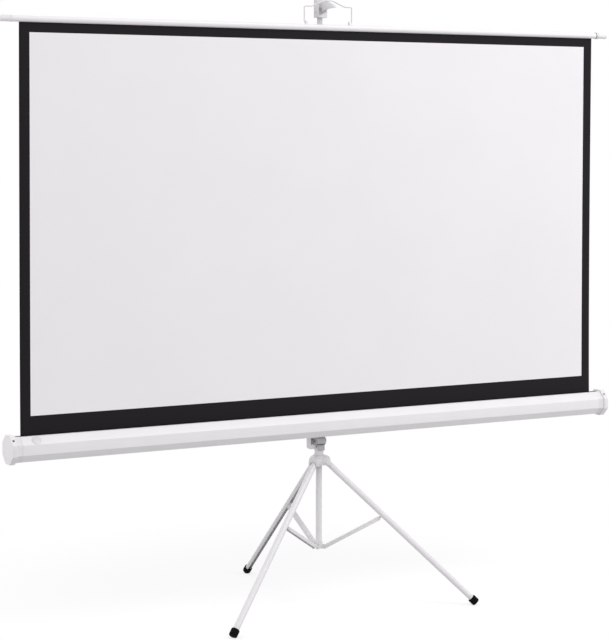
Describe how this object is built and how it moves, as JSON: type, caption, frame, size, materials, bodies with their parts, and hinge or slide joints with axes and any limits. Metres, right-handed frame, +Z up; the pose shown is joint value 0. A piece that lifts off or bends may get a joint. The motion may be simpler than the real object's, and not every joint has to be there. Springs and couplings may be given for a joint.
{
  "type": "tripod projector screen",
  "caption": "White projection sheet with a black border, drawn up from a long white octagonal case and hooked over an arm on a telescoping pole with a folding tripod base.",
  "frame": {"origin": "on the floor, at the middle of the bounding box's footprint; the pole's axis stands 138.1 mm in front of it", "axes": "+X to the viewer's right along the case, +Y away from the viewer towards the back leg, +Z up the pole"},
  "size_m": [2.418, 0.8604, 2.14],
  "materials": {
    "white_tube": "white paint, semi-gloss",
    "white_case": "white coating, satin",
    "white_plastic": "satin moulded plastic",
    "grey_plastic": "dark grey moulded plastic",
    "rubber": "matt black",
    "zinc_steel": "zinc plated",
    "sheet": "matt white coated cloth with a black border"
  },
  "bodies": {
    "stand": {"hub": "white_plastic", "column": "white_tube", "column_collar": "white_plastic", "leg_pin_right": "zinc_steel", "leg_pin_left": "zinc_steel", "leg_pin_back": "zinc_steel"},
    "knob": {"collar_knob": "grey_plastic"},
    "lower": {"lower_pole": "white_tube", "foot_fitting": "white_plastic"},
    "extension": {"extension_tube": "white_tube", "extension_plug": "grey_plastic", "head_bracket": "white_tube", "head_rivet": "zinc_steel", "hook_arm": "grey_plastic", "arm_rivet": "zinc_steel"},
    "slider": {"slider_body": "grey_plastic", "slider_bracket": "white_tube", "pivot_bolt": "zinc_steel", "lever_pin": "zinc_steel"},
    "wheel": {"height_wheel": "grey_plastic"},
    "lever": {"latch_lever": "grey_plastic"},
    "case": {"case_shell": "white_case", "case_cap_left": "white_plastic", "case_cap_right": "white_plastic", "cap_screw_left": "zinc_steel", "cap_screw_right": "zinc_steel", "badge_plate": "white_plastic", "roller_shaft": "zinc_steel", "screen_sheet": "sheet"},
    "roller": {"roller_tube": "zinc_steel", "roller_bush_left": "grey_plastic", "roller_bush_right": "grey_plastic", "roller_gudgeon": "zinc_steel", "roller_spring": "zinc_steel"},
    "bar": {"top_bar": "white_case", "bar_plug_left": "white_plastic", "bar_plug_right": "white_plastic", "hem_rod": "white_plastic", "bail_lug_left": "zinc_steel", "bail_lug_right": "zinc_steel"},
    "bail": {"bail": "zinc_steel"},
    "leg_right": {"leg_tube_right": "white_tube", "leg_tip_right": "rubber", "strut_clip_right": "white_plastic"},
    "strut_right": {"strut_right": "white_tube", "strut_pin_top_right": "zinc_steel", "strut_pin_low_right": "zinc_steel"},
    "leg_left": {"leg_tube_left": "white_tube", "leg_tip_left": "rubber", "strut_clip_left": "white_plastic"},
    "strut_left": {"strut_left": "white_tube", "strut_pin_top_left": "zinc_steel", "strut_pin_low_left": "zinc_steel"},
    "leg_back": {"leg_tube_back": "white_tube", "leg_tip_back": "rubber", "strut_clip_back": "white_plastic"},
    "strut_back": {"strut_back": "white_tube", "strut_pin_top_back": "zinc_steel", "strut_pin_low_back": "zinc_steel"}
  },
  "joints": [
    {"name": "leg_right_fold", "type": "hinge", "parent": "stand", "child": "leg_right", "pos_m": [0.02425, -0.15207, 0.5066], "axis": [0.5, 0.866, 0], "range_deg": [0, 41.8]},
    {"name": "leg_left_fold", "type": "hinge", "parent": "stand", "child": "leg_left", "pos_m": [-0.02425, -0.15207, 0.5066], "axis": [0.5, -0.866, 0], "range_deg": [0, 41.8]},
    {"name": "leg_back_fold", "type": "hinge", "parent": "stand", "child": "leg_back", "pos_m": [0, -0.11006, 0.5066], "axis": [-1, 0, 0], "range_deg": [0, 41.8]},
    {"name": "strut_right_swing", "type": "hinge", "parent": "leg_right", "child": "strut_right", "pos_m": [0.18445, -0.24455, 0.30683], "axis": [-0.5, -0.866, 0], "range_deg": [0, 100.77]},
    {"name": "strut_left_swing", "type": "hinge", "parent": "leg_left", "child": "strut_left", "pos_m": [-0.18445, -0.24455, 0.30683], "axis": [-0.5, 0.866, 0], "range_deg": [0, 100.77]},
    {"name": "strut_back_swing", "type": "hinge", "parent": "leg_back", "child": "strut_back", "pos_m": [0, 0.07492, 0.30683], "axis": [1, 0, 0], "range_deg": [0, 100.77]},
    {"name": "lower_pole_slide", "type": "slide", "parent": "stand", "child": "lower", "axis": [0, 0, -1], "range_m": [0, 0.18767]},
    {"name": "extension_slide", "type": "slide", "parent": "stand", "child": "extension", "axis": [0, 0, -1], "range_m": [0, 0.6]},
    {"name": "case_height_slide", "type": "slide", "parent": "stand", "child": "slider", "axis": [0, 0, 1], "range_m": [0, 0.7305]},
    {"name": "case_level", "type": "hinge", "parent": "slider", "child": "case", "pos_m": [0, -0.15657, 0.65], "axis": [0, 1, 0], "range_deg": [-0.4, 0.4]},
    {"name": "bar_drop", "type": "slide", "parent": "case", "child": "bar", "axis": [0, 0, -1], "range_m": [0, 1.3305], "deforming": ["screen_sheet"]},
    {"name": "roller_spin", "type": "hinge", "parent": "case", "child": "roller", "pos_m": [0, -0.18246, 0.65], "axis": [1, 0, 0], "range_deg": [0, 4355.5]},
    {"name": "bail_swing", "type": "hinge", "parent": "bar", "child": "bail", "pos_m": [0, -0.19806, 2.058], "axis": [1, 0, 0], "range_deg": [0, 90]},
    {"name": "latch_lever_pull", "type": "hinge", "parent": "slider", "child": "lever", "pos_m": [0, -0.15407, 0.5735], "axis": [-1, 0, 0], "range_deg": [0, 20], "stiffness_Nm_per_rad": 0.03, "springref_deg": -11.46},
    {"name": "height_wheel_turn", "type": "hinge", "parent": "slider", "child": "wheel", "pos_m": [-0.0265, -0.13806, 0.583], "axis": [1, 0, 0], "range_deg": [0, 180]},
    {"name": "lock_knob_turn", "type": "hinge", "parent": "stand", "child": "knob", "pos_m": [0, -0.10806, 1.458], "axis": [0, 1, 0], "range_deg": [0, 180]}
  ],
  "couplings": [
    {"joint": "leg_left_fold", "follows": "leg_right_fold", "ratio": 1},
    {"joint": "leg_back_fold", "follows": "leg_right_fold", "ratio": 1},
    {"joint": "strut_right_swing", "follows": "leg_right_fold", "ratio": 2.4105},
    {"joint": "strut_left_swing", "follows": "leg_right_fold", "ratio": 2.4105},
    {"joint": "strut_back_swing", "follows": "leg_right_fold", "ratio": 2.4105},
    {"joint": "lower_pole_slide", "follows": "leg_right_fold", "m_per_rad": 0.25717},
    {"joint": "case_height_slide", "follows": "extension_slide", "ratio": 1.2167},
    {"joint": "bar_drop", "follows": "extension_slide", "ratio": 2.2167},
    {"joint": "roller_spin", "follows": "extension_slide", "rad_per_m": 126.67}
  ]
}
